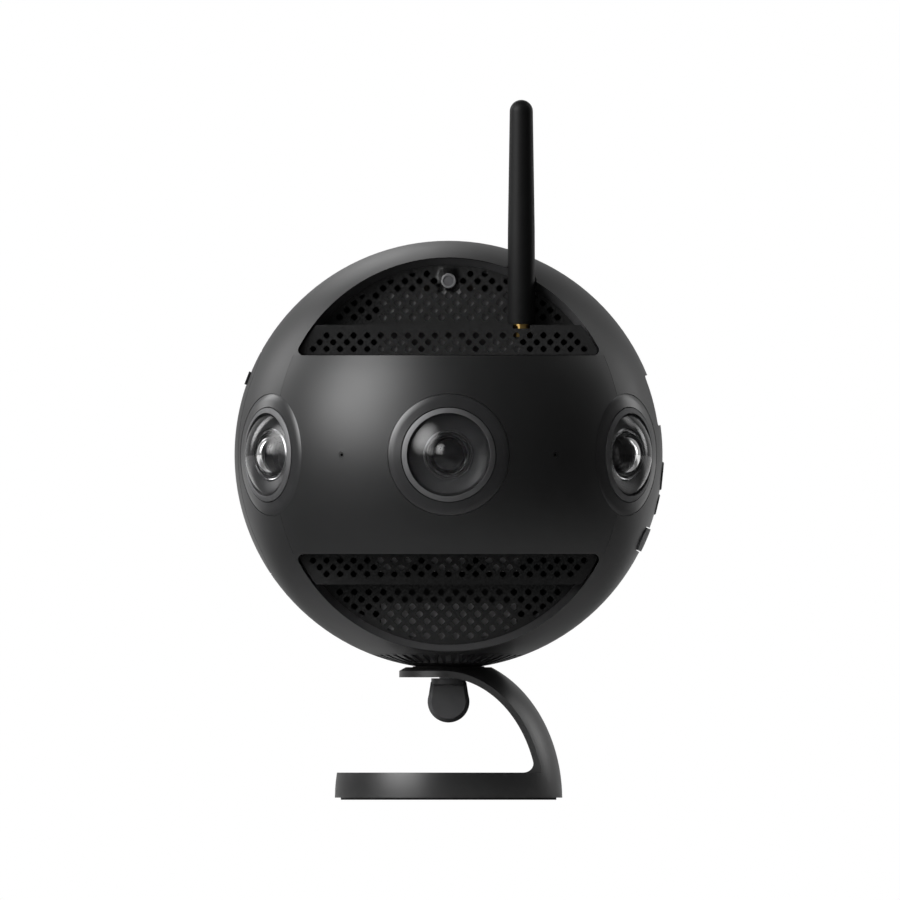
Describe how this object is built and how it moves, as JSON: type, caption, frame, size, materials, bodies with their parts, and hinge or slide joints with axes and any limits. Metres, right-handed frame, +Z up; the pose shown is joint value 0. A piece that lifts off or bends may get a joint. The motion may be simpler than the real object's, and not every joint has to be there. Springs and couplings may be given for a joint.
{
  "type": "360 degree camera",
  "caption": "Ball-shaped 360 degree camera with lenses round its equator, stepped perforated grilles and a rod antenna, on a curved one-arm table stand.",
  "frame": {"origin": "centre of the rubber foot's underside, on the table", "axes": "+Z up; the lens beside the status light looks along -Y; antenna, keys and stand arm on the +X side"},
  "size_m": [0.1435, 0.1512, 0.2338],
  "materials": {
    "body_plastic": "satin charcoal",
    "grille_plastic": "matt black",
    "trim_metal": "turned satin, dark grey",
    "bezel_metal": "satin grey",
    "lens_glass": "coated, clear",
    "inner_plastic": "matt black",
    "circuit_board": "solder mask green",
    "sensor_glass": "glossy dark",
    "chassis_alloy": "plain cast",
    "receiver_ceramic": "ceramic patch",
    "gold_plate": "plated",
    "fan_plastic": "matt black",
    "light_rim": "light grey",
    "light_window": "smoked",
    "antenna_skin": "satin black",
    "display_window": "glossy black",
    "key_plastic": "semi-gloss black",
    "cover_rubber": "matt grey",
    "socket_steel": "bright",
    "mic_mesh": "black mesh",
    "battery_wrap": "matt wrap",
    "stand_paint": "satin charcoal",
    "pad_rubber": "matt black"
  },
  "bodies": {
    "stand": {"stand_frame": "stand_paint", "stand_foot_pad": "pad_rubber", "stand_top_pad": "pad_rubber"},
    "thumb_screw": {"thumb_key": "stand_paint", "thumb_screw_stud": "socket_steel"},
    "camera": {"main_shell": "body_plastic", "front_cover": "body_plastic", "rear_cover": "body_plastic", "bottom_vent_ring": "body_plastic", "front_upper_grille": "grille_plastic", "front_lower_grille": "grille_plastic", "rear_upper_grille": "grille_plastic", "rear_lower_grille": "grille_plastic", "lens_trim_rings": "trim_metal", "lens_bezels": "bezel_metal", "lens_front_glasses": "lens_glass", "lens_inner_glasses": "lens_glass", "lens_holders": "inner_plastic", "battery_bay": "inner_plastic", "port_housing": "inner_plastic", "fan_standoffs": "inner_plastic", "air_baffles": "inner_plastic", "image_sensor_boards": "circuit_board", "main_board": "circuit_board", "power_board": "circuit_board", "control_board": "circuit_board", "image_sensors": "sensor_glass", "display_module": "sensor_glass", "chassis_drum": "chassis_alloy", "upper_heat_sink": "chassis_alloy", "tripod_mount_block": "chassis_alloy", "control_bracket": "chassis_alloy", "gps_module": "receiver_ceramic", "antenna_socket": "gold_plate", "tripod_bushing": "gold_plate", "cooling_fan_frame": "fan_plastic", "key_switches": "fan_plastic", "status_light_ring": "light_rim", "status_light_lens": "light_window", "display_glass": "display_window", "usb_socket": "socket_steel", "hdmi_socket": "socket_steel", "microphones": "mic_mesh"},
    "antenna": {"antenna_whip": "antenna_skin"},
    "fan": {"cooling_fan_rotor": "fan_plastic"},
    "power_button": {"power_button": "key_plastic"},
    "shutter_button": {"shutter_button": "key_plastic"},
    "port_cover": {"port_cover": "cover_rubber"},
    "battery": {"battery_door": "body_plastic", "battery_pack": "battery_wrap"},
    "battery_tab": {"battery_tab": "key_plastic"}
  },
  "joints": [
    {"name": "camera_turn", "type": "hinge", "parent": "stand", "child": "camera", "pos_m": [0, 0, 0.0446], "axis": [0, 0, 1], "continuous": true},
    {"name": "thumb_screw_turn", "type": "hinge", "parent": "stand", "child": "thumb_screw", "pos_m": [0, 0, 0.0406], "axis": [0, 0, 1], "continuous": true},
    {"name": "antenna_turn", "type": "hinge", "parent": "camera", "child": "antenna", "pos_m": [0.0243, -0.0292, 0.1589], "axis": [0, 0, 1], "continuous": true},
    {"name": "fan_spin", "type": "hinge", "parent": "camera", "child": "fan", "pos_m": [0, 0, 0.0666], "axis": [0, 0, 1], "continuous": true},
    {"name": "power_button_press", "type": "slide", "parent": "camera", "child": "power_button", "axis": [-0.9951, 0, 0.0993], "range_m": [0, 0.0005], "stiffness_N_per_m": 2000, "springref_m": -0.0005},
    {"name": "shutter_button_press", "type": "slide", "parent": "camera", "child": "shutter_button", "axis": [-0.9727, 0, 0.2322], "range_m": [0, 0.0005], "stiffness_N_per_m": 2000, "springref_m": -0.0005},
    {"name": "port_cover_open", "type": "hinge", "parent": "camera", "child": "port_cover", "pos_m": [0.06431, 0, 0.08288], "axis": [0, 1, 0], "range_deg": [0, 120]},
    {"name": "battery_slide", "type": "slide", "parent": "camera", "child": "battery", "axis": [-1, 0, 0], "range_m": [0, 0.03]},
    {"name": "battery_tab_press", "type": "slide", "parent": "battery", "child": "battery_tab", "axis": [0.9342, 0, -0.3566], "range_m": [0, 0.0008], "stiffness_N_per_m": 1500, "springref_m": -0.0008}
  ]
}
